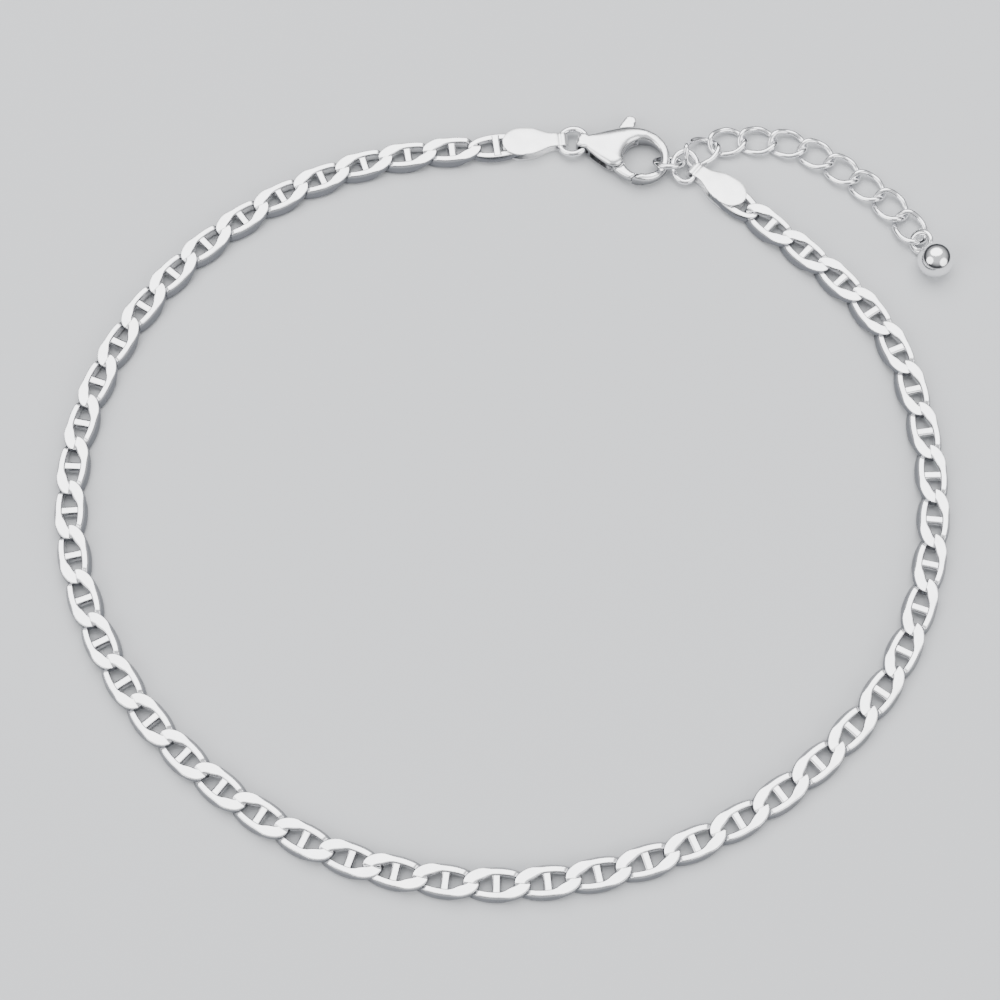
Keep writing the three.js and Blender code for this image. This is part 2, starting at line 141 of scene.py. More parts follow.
# Jump rings
RING_AT = (6.903, 36.062)
RING_ACROSS = 3.3
RING_WIRE = 0.55
RING_ROUND_WIRE = 0.62
SLIM_WIRE = 0.48
SLIM_ROUND_WIRE = 0.54
MIDDLE_RING_ACROSS = 3.2
MIDDLE_RING_TILT = radians(44)
OVAL_RING_AT = (17.427, 33.33)
OVAL_RING_LENGTH = 3.6
OVAL_RING_WIDTH = 2.85
OVAL_RING_TILT = radians(10)
RING_GAP = 0.02
CLASP_RING_GAP_AT = radians(75)
MIDDLE_RING_GAP_AT = radians(250)
OVAL_RING_GAP_AT = radians(150)
# Painted shade on the lower half of each ring's wire
RING_SHADE = 0.7

# Lobster clasp, with the middle of its round hole as its own middle
CLASP_AT = (13.4, 34.1)
CLASP_TURN = radians(-17.7)
CLASP_LENGTH = 8.98
CLASP_MIDDLE = 0.95
HOOK_INNER = 1.8
HOOK_WIRE = 0.8
SPINE_WIDTH = 1.08
NECK_WIDTH = 1.45
NECK_LENGTH = 1.0
EYE_WALL = 0.24
EYE_ROOM = 1.12
EYE_HIGH = 0.79
LOBE_RADIUS = 1.04
PIVOT = (-2.6, -0.85)
PIVOT_PIN = 0.7
SLOT_THICK = 0.8
SLOT_LENGTH = 3.95
LEVER_THICK = 0.62
GATE_THICK = 0.94
HUB_RADIUS = 0.72
TAB_LENGTH = 1.55
TAB_WIDTH = 1.15
TAB_SUNK = 0.35
ARM_EDGE = 0.2
GATE_EDGE = 0.34
LEVER_SPACING = 0.12
SEAM_ANGLE = 55
CLEARANCE = 0.06
# How far the cutting shapes for slot, eye and bore reach
SLOT_REACH = 6
EYE_REACH = 2
BORE_REACH = 1
# Faces that look up less than this get painted shade, the more so the steeper they are
WALL_SLOPE = 0.6
BODY_SHADE = 0.85
LEVER_SHADE = 0.7

# Extender
EXTENDER_PITCH = 2.88
EXTENDER_COUNT = 9
EXTENDER_LENGTH = 3.87
EXTENDER_WIDTH = 3.1
EXTENDER_WIRE = 0.48
EXTENDER_ROUND_WIRE = 0.53
EXTENDER_RISE = 0.3
FIRST_LINK_TWIST = 2.4
PEAK_CROSSING = 0.77
# Painted shade on the lower half of the extender's wire
EXTENDER_SHADE = 0.6
EXTENDER_STEPS = 56
EXTENDER_ROUTE = [
    (19.5, 35.4), (22.3, 36.3), (27.8, 35.8), (32.5, 32.9), (36.6, 29.2), (39.1, 25.2),
    (40.2, 21.0), (40.8, 16.0),
]
BALL_ACROSS = 3.3
BAIL_ACROSS = 2.3
BAIL_WIRE = 0.5
BAIL_ROUND_WIRE = 0.62
BAIL_LEAN = radians(40)
BAIL_SUNK = 0.2
BALL_ROWS = 48
BALL_SIDES = 72
BAIL_STEPS = 56
BAIL_SIDES = 14
# The solder between ball and bail
FILLET_RADIUS = 0.3
FILLET_SPREAD = 0.2
FILLET_SUNK = 0.12
FILLET_LENGTH = 0.3
FILLET_ROWS = 9
FILLET_SIDES = 24

# Above these angles, in degrees, an edge stays sharp
CHAIN_SHARP = 50
CAP_SHARP = 60
WIRE_SHARP = 60
CLASP_SHARP = 45

# Metal: the scratches' two directions, how they are stretched and which of them show, how cloudy
# patches tint the metal, and how much rougher the metal is where shade is painted on
SCRATCH_TURNS = (0.5, 1.9)
SCRATCH_TILT = (0.2, 0.1)
SCRATCH_STRETCH = (1.0, 0.04, 0.3)
SCRATCH_RANGE = (0.55, 0.75)
SCRATCH_DEPTH = 0.004 * MM
CLOUD_TINT = (0.9, 0.9, 0.91, 1)
PAINTED_SHADE_ROUGHNESS = 0.35
ROUGHENING_RANGE = (0.3, 0.9)

# Floor and room, in metres. The room's two colours come with the height at which each is pure.
FLOOR_HALF = 1.5
FLOOR_DROP = 0.02 * MM
FLOOR_COLOUR = (0.56, 0.57, 0.585, 1)
HORIZON = (0.25, (0.05, 0.052, 0.057, 1))
OVERHEAD = (0.7, (0.8, 0.81, 0.83, 1))
ROOM_STRENGTH = 1.15


def box_middle(node):
    low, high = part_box(node)
    return (Vector(low) + Vector(high)) / 2


# Where the anklet's own origin lies in the frame, from the ring between clasp and left cap
clasp_ring_middle = box_middle("ring_clasp")
SHIFT = Vector((
    clasp_ring_middle.x - RING_AT[0] * MM, clasp_ring_middle.y - RING_AT[1] * MM, 0))

camera_data = bpy.data.cameras.new("camera")
camera_data.lens = LENS
camera_data.sensor_width = SENSOR
camera_data.clip_start = NEAREST_SEEN
camera_data.clip_end = FARTHEST_SEEN
camera = bpy.data.objects.new("camera", camera_data)
bpy.context.scene.collection.objects.link(camera)
camera.location = SHIFT + CAMERA_DISTANCE * Vector(
    (0, -cos(CAMERA_ELEVATION), sin(CAMERA_ELEVATION)))
camera.rotation_euler = (pi / 2 - CAMERA_ELEVATION, 0, 0)
bpy.context.scene.camera = camera


# Small helpers
def lerp(a, b, share):
    return a + (b - a) * share


def clamp(value, low=0.0, high=1.0):
    return max(low, min(high, value))


def on_circle(degrees, radius, x=0.0, y=0.0):
    return (x + radius * cos(radians(degrees)), y + radius * sin(radians(degrees)))


def round_angles(count):
    return [2 * pi * i / count for i in range(count)]


def arc(x, y, radius, start, end, spacing=0.1):
    count = max(2, int(abs(radians(end - start)) * radius / spacing))
    return [on_circle(lerp(start, end, i / count), radius, x, y) for i in range(count + 1)]


def bezier(*control, spacing=0.1):
    # A quadratic or cubic curve through its first and last control points
    points = [np.array(p, dtype=float) for p in control]
    count = max(3, int(np.linalg.norm(points[-1] - points[0]) / spacing))
    curve = []
    for i in range(count + 1):
        level = points
        while len(level) > 1:
            level = [lerp(a, b, i / count) for a, b in zip(level, level[1:])]
        curve.append(tuple(level[0]))
    return curve


# Meshes
def new_object(name, mesh):
    piece = bpy.data.objects.new(name, mesh)
    bpy.context.scene.collection.objects.link(piece)
    return piece


def drop(piece):
    mesh = piece.data
    bpy.data.objects.remove(piece)
    bpy.data.meshes.remove(mesh)


def evaluated_mesh(piece):
    depsgraph = bpy.context.evaluated_depsgraph_get()
    return bpy.data.meshes.new_from_object(
        piece.evaluated_get(depsgraph), preserve_all_data_layers=True, depsgraph=depsgraph)


def mesh_of(name, vertices, faces, painted_shade=None):
    mesh = bpy.data.meshes.new(name)
    mesh.from_pydata([tuple(v) for v in vertices], [], faces)
    mesh.validate()
    if painted_shade is not None:
        layer = mesh.attributes.new("painted_shade", "FLOAT", "POINT")
        layer.data.foreach_set("value", painted_shade)
    return mesh


def tube(name, rows, closed=True, painted_shade=None):
    # Rows of points around a wire, joined into a skin. An open tube gets a face at each end.
    count = len(rows)
    sides = len(rows[0])
    faces = []
    for i in range(count if closed else count - 1):
        ahead = (i + 1) % count
        for j in range(sides):
            beside = (j + 1) % sides
            faces.append((
                i * sides + j, ahead * sides + j, ahead * sides + beside, i * sides + beside))
    if not closed:
        faces.append(tuple(range(sides)))
        faces.append(tuple((count - 1) * sides + j for j in reversed(range(sides))))
    vertices = [point for row in rows for point in row]
    return mesh_of(name, vertices, faces, painted_shade)


def joined(name, meshes):
    # Several meshes as one, with their shares of painted shade
    vertices = []
    faces = []
    painted_shade = []
    for mesh in meshes:
        start = len(vertices)
        vertices.extend(tuple(v.co) for v in mesh.vertices)
        faces.extend(tuple(start + k for k in face.vertices) for face in mesh.polygons)
        layer = mesh.attributes.get("painted_shade")
        painted_shade.extend([item.value for item in layer.data] if layer else [0.0] * len(mesh.vertices))
    return mesh_of(name, vertices, faces, painted_shade)


def moved(mesh, matrix):
    copy = mesh.copy()
    copy.transform(matrix)
    return copy


def placed(x, y, z, turn=0.0, climb=0.0, lean=0.0):
    return Matrix.Translation((x, y, z)) @ Euler((lean, climb, turn)).to_matrix().to_4x4()


def boolean(mesh, cutter, operation):
    first = new_object("first", mesh)
    second = new_object("second", cutter)
    modifier = first.modifiers.new("join", "BOOLEAN")
    modifier.operation = operation
    modifier.solver = "EXACT"
    modifier.object = second
    result = evaluated_mesh(first)
    drop(first)
    drop(second)
    return result


def prism(name, outline, low, high):
    count = len(outline)
    vertices = [(x, y, low) for x, y in outline] + [(x, y, high) for x, y in outline]
    faces = [tuple(reversed(range(count))), tuple(range(count, 2 * count))]
    for i in range(count):
        ahead = (i + 1) % count
        faces.append((i, ahead, count + ahead, count + i))
    return mesh_of(name, vertices, faces)


# Pillow shapes: where rows of points lie in the round edge, as shares of its width, how far apart
# points have to be, and how the points inside are set off from a plain grid
EDGE_ROWS = (0.04, 0.15, 0.35, 0.65)
ROW_ROOM = 0.97
SAME_POINT = 1e-3
GRID_STAGGER = 0.2
GRID_FROM = 0.8


def pillow(name, outline, half_height, rim, edge, spacing=0.13):
    # A flat outline swelled to both sides. half_height, rim and edge are functions of x and y: the
    # height in the middle, the upright wall's height and the width of the round edge.
    outline = [p for p, q in zip(outline, outline[1:] + outline[:1])
               if hypot(p[0] - q[0], p[1] - q[1]) > SAME_POINT]
    ring = np.array(outline)
    ahead = np.roll(ring, -1, axis=0)
    way = ahead - ring

    def depth(points):
        offset = points[:, None, :] - ring[None, :, :]
        share = np.clip((offset * way).sum(2) / (way ** 2).sum(1), 0, 1)
        nearest = offset - share[:, :, None] * way
        return np.sqrt((nearest ** 2).sum(2)).min(1)

    def inside(points):
        x = points[:, 0:1]
        y = points[:, 1:2]
        spans = (ring[:, 1] > y) != (ahead[:, 1] > y)
        rise = np.where(way[:, 1] == 0, 1e-12, way[:, 1])
        left = x < ring[:, 0] + (y - ring[:, 1]) * way[:, 0] / rise
        return (spans & left).sum(1) % 2 == 1

    unit = way / np.linalg.norm(way, axis=1)[:, None]
    inward = np.stack([-unit[:, 1], unit[:, 0]], axis=1)
    extra = []
    between = (ring + ahead) / 2
    round_width = edge(between[:, 0], between[:, 1])
    for share in EDGE_ROWS:
        line = between + inward * round_width[:, None] * share
        extra.append(line[inside(line) & (depth(line) > round_width * share * ROW_ROOM)])
    low = ring.min(0)
    high = ring.max(0)
    grid = np.stack(np.meshgrid(
        np.arange(low[0], high[0], spacing), np.arange(low[1], high[1], spacing)), axis=-1)
    grid = grid.reshape(-1, 2)
    grid[:, 0] += np.where(np.arange(len(grid)) % 2, spacing * GRID_STAGGER, 0)
    grid = grid[inside(grid)]
    grid_edge = edge(grid[:, 0], grid[:, 1])
    extra.append(grid[depth(grid) > grid_edge * GRID_FROM])
    points = np.concatenate([ring] + extra)
    count = len(ring)
    edges = [(i, (i + 1) % count) for i in range(count)]
    flat, _, triangles, _, _, _ = delaunay_2d_cdt(
        [Vector(p) for p in points], edges, [], 1, 1e-6)
    spots = np.array([(p.x, p.y) for p in flat])
    share = np.clip(depth(spots) / edge(spots[:, 0], spots[:, 1]), 0, 1)
    wall = rim(spots[:, 0], spots[:, 1])
    crown = half_height(spots[:, 0], spots[:, 1]) - wall
    height = wall + crown * np.sqrt(1 - (1 - share) ** 2)
    total = len(spots)
    vertices = [(x, y, h) for (x, y), h in zip(spots, height)]
    vertices += [(x, y, -h) for (x, y), h in zip(spots, height)]
    faces = []
    open_edges = set()
    for triangle in triangles:
        a, b, c = (spots[k] for k in triangle)
        turned = (b[0] - a[0]) * (c[1] - a[1]) - (b[1] - a[1]) * (c[0] - a[0])
        face = tuple(triangle) if turned > 0 else tuple(reversed(triangle))
        faces.append(face)
        faces.append(tuple(total + k for k in reversed(face)))
        for k in range(3):
            side = (face[k], face[(k + 1) % 3])
            if side[::-1] in open_edges:
                open_edges.remove(side[::-1])
            else:
                open_edges.add(side)
    for a, b in sorted(open_edges):
        faces.append((a, total + a, total + b, b))
    return mesh_of(name, vertices, faces)


def settle(name, mesh, node_names, material, body, sharp=180):
    # A finished piece: in the frame, in metres, smooth, with its material, body and nodes
    mesh.name = name
    mesh.transform(Matrix.Translation(SHIFT) @ Matrix.Scale(MM, 4))
    mesh.shade_smooth()
    if sharp < 180:
        mesh.set_sharp_from_angle(angle=radians(sharp))
    mesh.materials.clear()
    mesh.materials.append(material)
    piece = new_object(name, mesh)
    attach(piece, body)
    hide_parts(*node_names)
    return piece


# Materials
def group_socket(tree, name, kind, direction, default=None):
    socket = tree.interface.new_socket(name=name, in_out=direction, socket_type=kind)
    if default is not None:
        socket.default_value = default
    return socket


def hand_polish_group():
    # What a polishing cloth leaves: cloudy patches and hair-fine scratches in two directions
    tree = bpy.data.node_groups.new("hand_polish", "ShaderNodeTree")
    group_socket(tree, "Cloud Size", "NodeSocketFloat", "INPUT", 600.0)
    group_socket(tree, "Scratch Fineness", "NodeSocketFloat", "INPUT", 2500.0)
    group_socket(tree, "Clouds", "NodeSocketFloat", "OUTPUT")
    group_socket(tree, "Scratches", "NodeSocketFloat", "OUTPUT")
    nodes = tree.nodes
    links = tree.links
    entry = nodes.new("NodeGroupInput")
    leave = nodes.new("NodeGroupOutput")
    place = nodes.new("ShaderNodeTexCoord")

    clouds = nodes.new("ShaderNodeTexNoise")
    clouds.inputs["Detail"].default_value = 3.0
    links.new(place.outputs["Object"], clouds.inputs["Vector"])
    links.new(entry.outputs["Cloud Size"], clouds.inputs["Scale"])
    links.new(clouds.outputs["Fac"], leave.inputs["Clouds"])

    strokes = []
    for turn in SCRATCH_TURNS:
        mapping = nodes.new("ShaderNodeMapping")
        mapping.inputs["Rotation"].default_value = (*SCRATCH_TILT, turn)
        mapping.inputs["Scale"].default_value = SCRATCH_STRETCH
        links.new(place.outputs["Object"], mapping.inputs["Vector"])
        noise = nodes.new("ShaderNodeTexNoise")
        noise.inputs["Detail"].default_value = 2.0
        links.new(mapping.outputs["Vector"], noise.inputs["Vector"])
        links.new(entry.outputs["Scratch Fineness"], noise.inputs["Scale"])
        strokes.append(noise)
    both = nodes.new("ShaderNodeMath")
    both.operation = "MAXIMUM"
    links.new(strokes[0].outputs["Fac"], both.inputs[0])
    links.new(strokes[1].outputs["Fac"], both.inputs[1])
    lines = nodes.new("ShaderNodeMapRange")
    lines.inputs["From Min"].default_value = SCRATCH_RANGE[0]
    lines.inputs["From Max"].default_value = SCRATCH_RANGE[1]
    links.new(both.outputs["Value"], lines.inputs["Value"])
    links.new(lines.outputs["Result"], leave.inputs["Scratches"])
    return tree


def silver(name, bright, painted_shade_colour, smooth, rough, relief, cloud_size=600.0):
    # bright is the metal's colour on its tops; the second colour is painted shade,
    # laid on walls, undersides and creases
    material = bpy.data.materials.new(name)
    material.use_nodes = True
    nodes = material.node_tree.nodes
    links = material.node_tree.links
    shader = nodes["Principled BSDF"]
    shader.inputs["Metallic"].default_value = 1.0

    polish = nodes.new("ShaderNodeGroup")
    polish.node_tree = polish_group
    polish.inputs["Cloud Size"].default_value = cloud_size

    painted_shade = nodes.new("ShaderNodeAttribute")
    painted_shade.attribute_name = "painted_shade"

    colour = nodes.new("ShaderNodeMix")
    colour.data_type = "RGBA"
    colour.inputs["A"].default_value = (*bright, 1)
    colour.inputs["B"].default_value = (*painted_shade_colour, 1)
    links.new(painted_shade.outputs["Fac"], colour.inputs["Factor"])

    tint = nodes.new("ShaderNodeMix")
    tint.data_type = "RGBA"
    tint.blend_type = "MULTIPLY"
    tint.inputs["B"].default_value = CLOUD_TINT
    links.new(polish.outputs["Clouds"], tint.inputs["Factor"])
    links.new(colour.outputs["Result"], tint.inputs["A"])
    links.new(tint.outputs["Result"], shader.inputs["Base Color"])

    roughening = nodes.new("ShaderNodeMath")
    roughening.operation = "MULTIPLY_ADD"
    roughening.inputs[1].default_value = PAINTED_SHADE_ROUGHNESS
    links.new(painted_shade.outputs["Fac"], roughening.inputs[0])
    links.new(polish.outputs["Clouds"], roughening.inputs[2])
    gloss = nodes.new("ShaderNodeMapRange")
    gloss.inputs["From Min"].default_value = ROUGHENING_RANGE[0]
    gloss.inputs["From Max"].default_value = ROUGHENING_RANGE[1]
    gloss.inputs["To Min"].default_value = smooth
    gloss.inputs["To Max"].default_value = rough
    links.new(roughening.outputs["Value"], gloss.inputs["Value"])
    links.new(gloss.outputs["Result"], shader.inputs["Roughness"])

    bump = nodes.new("ShaderNodeBump")
    bump.inputs["Strength"].default_value = relief
    bump.inputs["Distance"].default_value = SCRATCH_DEPTH
    bump.invert = True
    links.new(polish.outputs["Scratches"], bump.inputs["Height"])
    links.new(bump.outputs["Normal"], shader.inputs["Normal"])
    return material


polish_group = hand_polish_group()
# The second colour of each silver is painted shade on the pieces' walls and lower sides
chain_silver = silver(
    "chain_silver", bright=(0.93, 0.93, 0.935), painted_shade_colour=(0.2, 0.205, 0.22),
    smooth=0.13, rough=0.3, relief=0.5)
clasp_silver = silver(
    "clasp_silver", bright=(0.93, 0.93, 0.935), painted_shade_colour=(0.07, 0.073, 0.082),
    smooth=0.17, rough=0.34, relief=0.5, cloud_size=400.0)
cap_silver = silver(
    "cap_silver", bright=(0.95, 0.95, 0.95), painted_shade_colour=(0.5, 0.5, 0.52),
    smooth=0.26, rough=0.4, relief=0.6, cloud_size=900.0)
wire_silver = silver(
    "wire_silver", bright=(0.93, 0.93, 0.94), painted_shade_colour=(0.3, 0.305, 0.32),
    smooth=0.1, rough=0.24, relief=0.4)
ball_silver = silver(
    "ball_silver", bright=(0.95, 0.95, 0.955), painted_shade_colour=(0.4, 0.4, 0.42),
    smooth=0.12, rough=0.18, relief=0.2, cloud_size=300.0)


# Routes over the table
def route(points):
    # Dense places, directions and lengths along a smooth curve through the points
    knots = [np.array(p) for p in points]
    knots = [2 * knots[0] - knots[1]] + knots + [2 * knots[-1] - knots[-2]]
    spots = []
    for a, b, c, d in zip(knots, knots[1:], knots[2:], knots[3:]):
        start = (c - a) / 2
        end = (d - b) / 2
        for t in np.linspace(0, 1, 200, endpoint=False):
            spots.append(
                (2 * t ** 3 - 3 * t ** 2 + 1) * b + (t ** 3 - 2 * t ** 2 + t) * start
                + (3 * t ** 2 - 2 * t ** 3) * c + (t ** 3 - t ** 2) * end)
    spots.append(knots[-2])
    spots = np.array(spots)
    steps = np.linalg.norm(np.diff(spots, axis=0), axis=1)
    lengths = np.concatenate([[0], np.cumsum(steps)])

    def at(distance):
        x = np.interp(distance, lengths, spots[:, 0])
        y = np.interp(distance, lengths, spots[:, 1])
        k = int(clamp(np.searchsorted(lengths, distance), 1, len(steps)))
        way = spots[k] - spots[k - 1]
        return float(x), float(y), atan2(way[1], way[0])

    return at, float(lengths[-1])


# Links laid along a route by geometry nodes
def lay_links_tree():
    tree = bpy.data.node_groups.new("lay_links", "GeometryNodeTree")
    group_socket(tree, "Places", "NodeSocketGeometry", "INPUT")
    group_socket(tree, "Link", "NodeSocketObject", "INPUT")
    group_socket(tree, "Link Scale", "NodeSocketFloat", "INPUT", 1.0)
    group_socket(tree, "Metal", "NodeSocketMaterial", "INPUT")
    group_socket(tree, "Chain", "NodeSocketGeometry", "OUTPUT")
    nodes = tree.nodes
    links = tree.links
    entry = nodes.new("NodeGroupInput")
    leave = nodes.new("NodeGroupOutput")
    shape = nodes.new("GeometryNodeObjectInfo")
    turn = nodes.new("GeometryNodeInputNamedAttribute")
    turn.data_type = "FLOAT_VECTOR"
    turn.inputs["Name"].default_value = "turn"
    rotation = nodes.new("FunctionNodeEulerToRotation")
    lay = nodes.new("GeometryNodeInstanceOnPoints")
    realize = nodes.new("GeometryNodeRealizeInstances")
    finish = nodes.new("GeometryNodeSetMaterial")
    links.new(entry.outputs["Link"], shape.inputs["Object"])
    links.new(entry.outputs["Places"], lay.inputs["Points"])
    links.new(shape.outputs["Geometry"], lay.inputs["Instance"])
    links.new(turn.outputs["Attribute"], rotation.inputs["Euler"])
    links.new(rotation.outputs["Rotation"], lay.inputs["Rotation"])
    links.new(entry.outputs["Link Scale"], lay.inputs["Scale"])
    links.new(lay.outputs["Instances"], realize.inputs["Geometry"])
    links.new(realize.outputs["Geometry"], finish.inputs["Geometry"])
    links.new(entry.outputs["Metal"], finish.inputs["Material"])
    links.new(finish.outputs["Geometry"], leave.inputs["Chain"])
    return tree


lay_links = lay_links_tree()


def laid(link_mesh, places, material):
    # places holds x, y, z and the turn about the vertical of each link
    points = bpy.data.meshes.new("places")
    points.from_pydata([place[:3] for place in places], [], [])
    turns = points.attributes.new("turn", "FLOAT_VECTOR", "POINT")
    for item, place in zip(turns.data, places):
        item.vector = (0, 0, place[3])
    chain = new_object("chain", points)
    link = new_object("link", link_mesh)
    modifier = chain.modifiers.new("lay_links", "NODES")
    modifier.node_group = lay_links
    values = {"Link": link, "Link Scale": 1.0, "Metal": material}
    for socket in lay_links.interface.items_tree:
        if socket.name in values and socket.in_out == "INPUT":
            modifier[socket.identifier] = values[socket.name]
    mesh = evaluated_mesh(chain)
    drop(chain)
    drop(link)
    return mesh


# A filed wire's section, from above: a flat top, a steep outer wall that leans out towards the
# table, and a rounder inner wall. Each row has the share of the way from the flat's edge to the
# wire's side, the share of the half height and the share of painted shade, which darkens the walls
# and draws a dark crease line beside the flat.
OUTER_WALL = [
    (0.0, 1.0, 0.0), (0.16, 0.97, 0.1), (0.3, 0.84, 0.7), (0.55, 0.4, 1.0), (0.8, -0.1, 1.0),
    (1.0, -0.55, 1.0), (0.9, -0.86, 1.0), (0.55, -1.0, 1.0),
]
INNER_WALL = [
    (0.3, -1.0, 0.5), (0.75, -0.85, 0.4), (1.0, -0.4, 0.2), (1.0, 0.2, 0.1), (0.9, 0.6, 0.1),
    (0.62, 0.85, 0.3), (0.3, 0.94, 0.9), (0.0, 1.0, 0.0),
]


def strand_section(width, half_height, flat, aside=0.0):
    # Points (out, up, shade) round the section. aside moves the flat inwards on the wire.
    edge = flat * FLAT_ROUND
    right = flat / 2 - aside
    left = -flat / 2 - aside
    points = [(left + edge, half_height, 0.0), (right - edge, half_height, 0.0)]
    for out, up, shade in OUTER_WALL:
        points.append((right + (width / 2 - right) * out, half_height * up, shade))
    for out, up, shade in INNER_WALL:
        points.append((left - (width / 2 + left) * out, half_height * up, shade))
    return points


def near_tips(angle):
    # Crowds evenly spaced angles towards the two tips of a link
    return angle - TIP_CROWDING * sin(2 * angle)


def smooth_step(low, high, value):
    share = clamp((value - low) / (high - low))
    return share * share * (3 - 2 * share)


def crossing_levels(angle):
    # How high and how low the wire is, as shares, going round a twisted link. At its front end the
    # wire comes in high on the right, turns round the tip and leaves low on the left. The back end
    # is the front end turned half round.
    degrees_round = (angle * 180 / pi + 90) % 180 - 90
    reach = abs(cos(angle))
    past_tip = smooth_step(
        TIP_TURN - TIP_TURN_SPREAD, TIP_TURN + TIP_TURN_SPREAD, degrees_round)
    high = smooth_step(*HIGH_REACH, reach) * (1 - past_tip)
    low = smooth_step(*LOW_REACH, reach) * past_tip
    return high, low


def mariner_link(twisted):
    rows = []
    painted_shade = []
    for even_angle in round_angles(LINK_STEPS):
        angle = near_tips(even_angle)
        along = cos(angle)
        across = sin(angle)
        high, low = crossing_levels(angle) if twisted else (0, 0)
        middle_top = MIDDLE_TOP if twisted else FLAT_LINK_TOP
        top = lerp(lerp(middle_top, HIGH_TOP, high), LOW_TOP, low)
        bottom = -lerp(lerp(middle_top, HIGH_TOP, low), LOW_TOP, high)
        base_wire = lerp(SIDE_WIRE, TIP_WIRE, along ** 2)
        swell = TIP_SWELL * high * sqrt(abs(along))
        wire = base_wire + swell
        half = (top - bottom) / 2
        flat = wire * lerp(SIDE_FLAT, TIP_FLAT, high)
        aside = wire * lerp(FLAT_ASIDE, 0.0, high)
        half_length = (LINK_LENGTH - base_wire) / 2
        half_width = (LINK_WIDTH - base_wire) / 2
        broad = half_width * (1 if across > 0 else -1) * abs(across) ** SIDE_FULLNESS
        normal = Vector((along * half_width, across * half_length)).normalized()
        row = []
        for out, up, shade in strand_section(wire, half, flat, aside):
            beside = out - swell / 2
            row.append((
                half_length * along + normal.x * beside,
                broad + normal.y * beside,
                up + (top + bottom) / 2))
            # Painted shade on the walls and crease, darker still where the wire passes under
            painted_shade.append(clamp(shade + LOW_SHADE * low))
        rows.append(row)
    strand = tube("strand", rows, painted_shade=painted_shade)

    rows = []
    painted_shade = []
    reach = (LINK_WIDTH - SIDE_WIRE) / 2
    for y in np.linspace(-reach, reach, BAR_STEPS):
        flare = (abs(y) / reach) ** 3
        width = BAR_WIDTH * (1 + BAR_FLARE * flare)
        row = []
        for out, up, shade in strand_section(width, BAR_HALF, BAR_WIDTH * BAR_FLAT):
            row.append((out, y, up + BAR_LIFT))
            # Painted shade on the bar's walls
            painted_shade.append(shade * BAR_SHADE)
        rows.append(row)
    bar = tube("bar", rows, closed=False, painted_shade=painted_shade)
    return joined("mariner_link", [strand, bar])


start_x = CAP_LEFT_AT[0] + CAP_LEFT_REACH * cos(CAP_LEFT_TURN)
start_y = CAP_LEFT_AT[1] + CAP_LEFT_REACH * sin(CAP_LEFT_TURN)
end_x = CAP_RIGHT_AT[0] + CAP_RIGHT_REACH * cos(CAP_RIGHT_TURN)
end_y = CAP_RIGHT_AT[1] + CAP_RIGHT_REACH * sin(CAP_RIGHT_TURN)
chain_at, chain_length = route([(start_x, start_y)] + CHAIN_ROUTE + [(end_x, end_y)])
laid_pitch = (chain_length + LINK_MEET) / LINK_COUNT
half_distances = [(i + 0.5) * laid_pitch for i in range(LINK_COUNT // 2)]


def chain_half(name, node, distances):
    # The first distance is that of the link inside the cap, which lies flat
    places = []
    for distance in distances:
        x, y, turn = chain_at(distance)
        places.append((x, y, CHAIN_THICK / 2, turn))
    full = laid(mariner_link(True), places[1:], chain_silver)
    x, y, z, turn = places[0]
    end = moved(mariner_link(False), placed(x, y, z, turn))
    settle(
        name, joined(name, [full, end]), [node], chain_silver, "anklet",
        CHAIN_SHARP)


chain_half("mariner_chain_left", "chain_left", half_distances)
chain_half("mariner_chain_right", "chain_right", [chain_length - d for d in half_distances])


